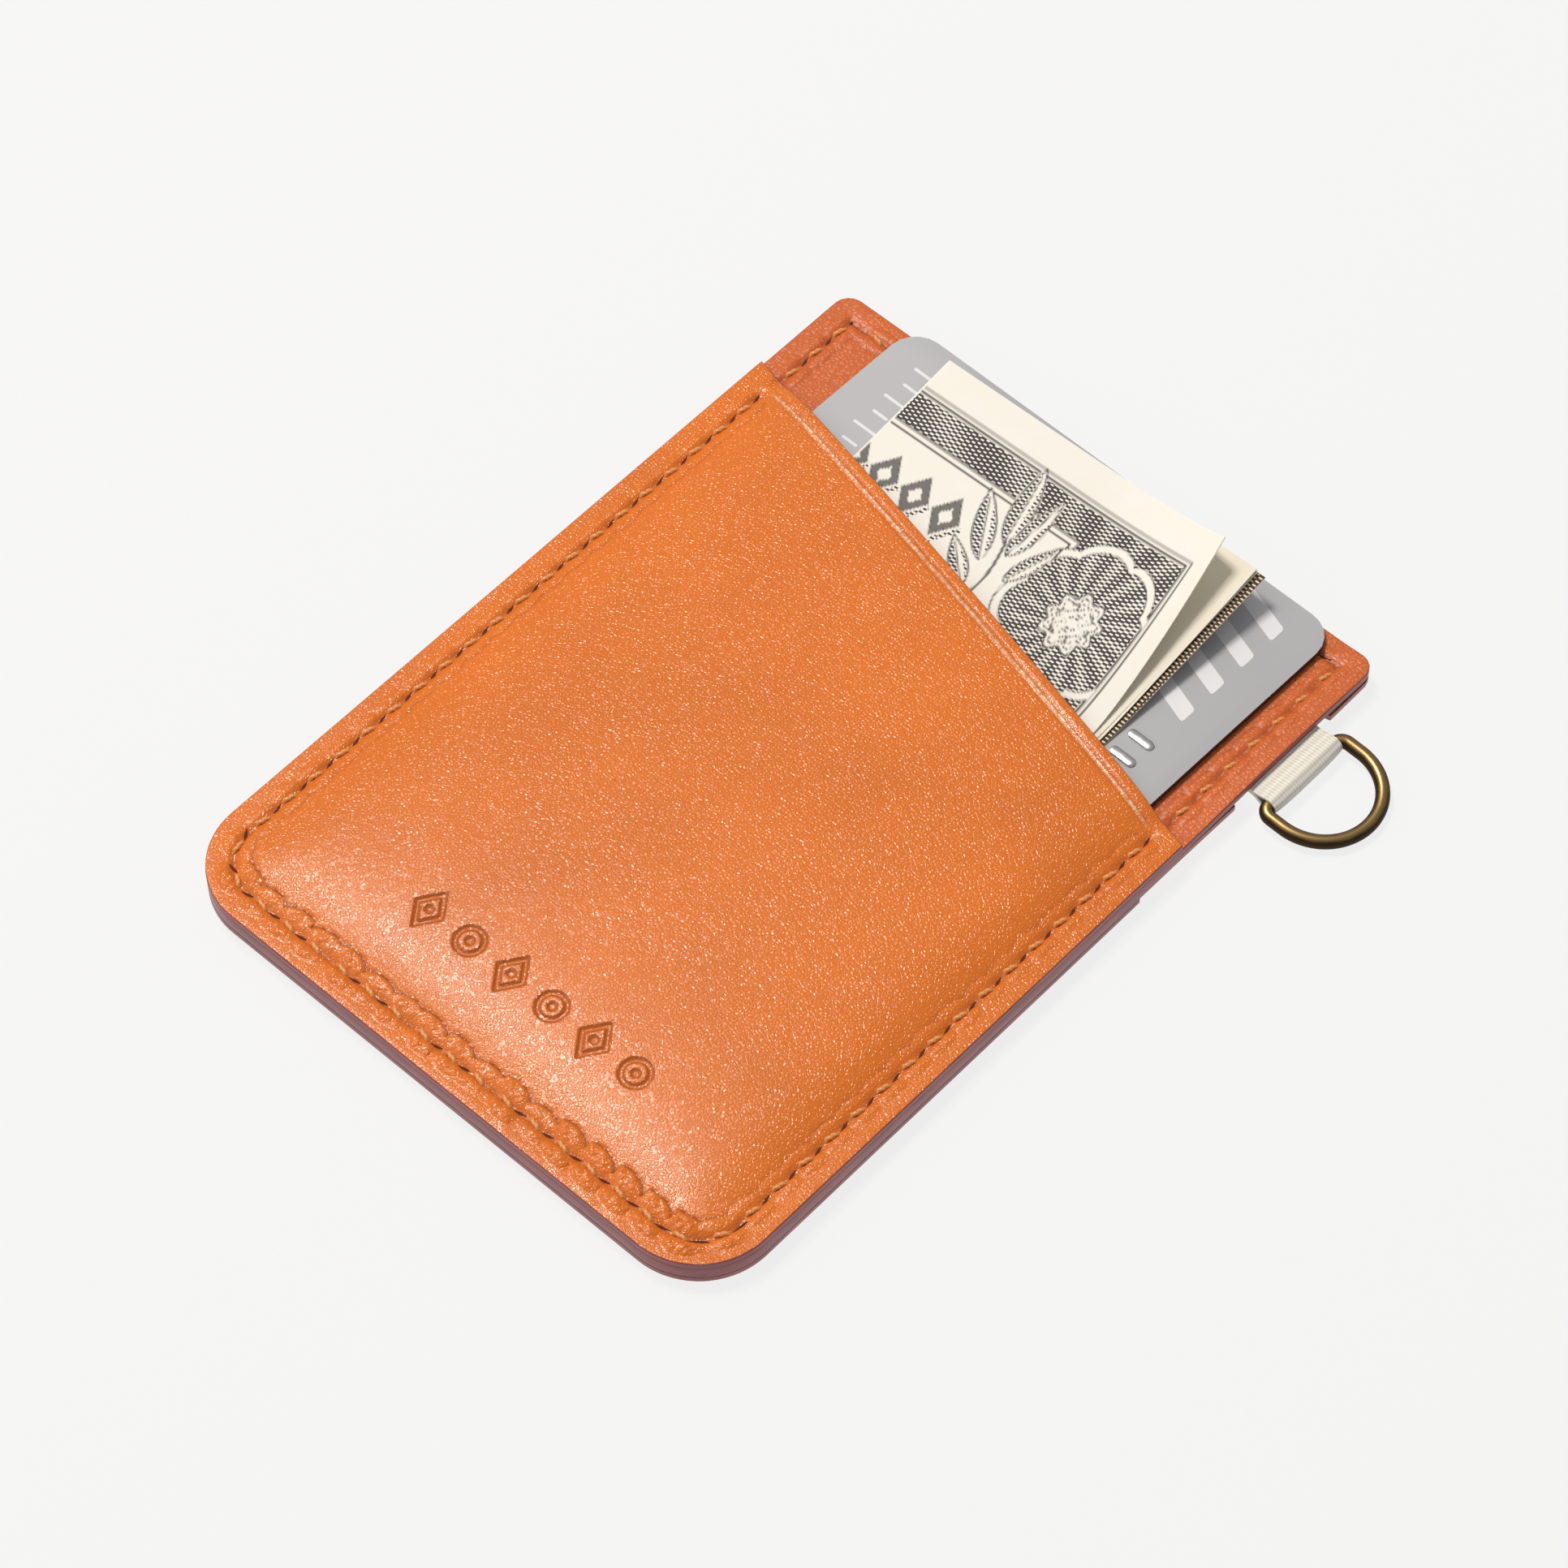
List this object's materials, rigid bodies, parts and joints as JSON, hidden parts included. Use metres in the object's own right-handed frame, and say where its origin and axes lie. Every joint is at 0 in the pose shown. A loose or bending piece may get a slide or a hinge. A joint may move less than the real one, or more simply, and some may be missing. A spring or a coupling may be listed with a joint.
{
  "type": "card holder",
  "caption": "Slim sewn leather card holder with a slant pocket on each face, a side ribbon loop with a D-ring, and a card and folded note in the front pocket.",
  "frame": {"origin": "on the outer face of the back pocket, at the middle of the body's width and length", "axes": "+Y along the body towards the pocket mouths and the open end, +Z out of the front pocket, +X towards the ribbon and D-ring"},
  "size_m": [0.0777, 0.0924, 0.0097],
  "materials": {
    "pocket_leather": "smooth orange-tan grain leather with a soft waxed sheen",
    "panel_leather": "redder orange-tan leather with a visible fine grain",
    "edge_paint": "rounded burgundy edge paint on the cut leather, satin",
    "thread": "twisted light tan sewing thread",
    "ribbon": "ivory ribbed grosgrain ribbon",
    "antique_brass": "antiqued brass wire, dark in the recesses and rubbed bright on top",
    "card_plastic": "light grey satin laminate with a dark core at the edge and raised marks",
    "note_paper": "cream cotton paper with a dark engraved lattice and leaf print"
  },
  "bodies": {
    "holder": {"front_pocket": "pocket_leather", "centre_panel_front": "panel_leather", "centre_panel_back": "panel_leather", "back_pocket": "pocket_leather", "needle_thread": "thread", "bobbin_thread": "thread", "ribbon_tails": "ribbon"},
    "loop": {"ribbon_loop": "ribbon"},
    "ring": {"d_ring": "antique_brass"},
    "card": {"bank_card": "card_plastic"},
    "note": {"folded_note": "note_paper"}
  },
  "joints": [
    {"name": "ribbon_flex", "type": "hinge", "parent": "holder", "child": "loop", "pos_m": [0.0337, 0.0323, 0.0015], "axis": [0, -1, 0], "range_deg": [-40, 40]},
    {"name": "ring_swing", "type": "hinge", "parent": "loop", "child": "ring", "pos_m": [0.0356, 0.0323, 0.00112], "axis": [0, -1, 0], "range_deg": [-130, 110]},
    {"name": "card_slide", "type": "slide", "parent": "holder", "child": "card", "axis": [0, 1, 0], "range_m": [0, 0.09]},
    {"name": "note_slide", "type": "slide", "parent": "holder", "child": "note", "axis": [0, 1, 0], "range_m": [0, 0.072]}
  ]
}
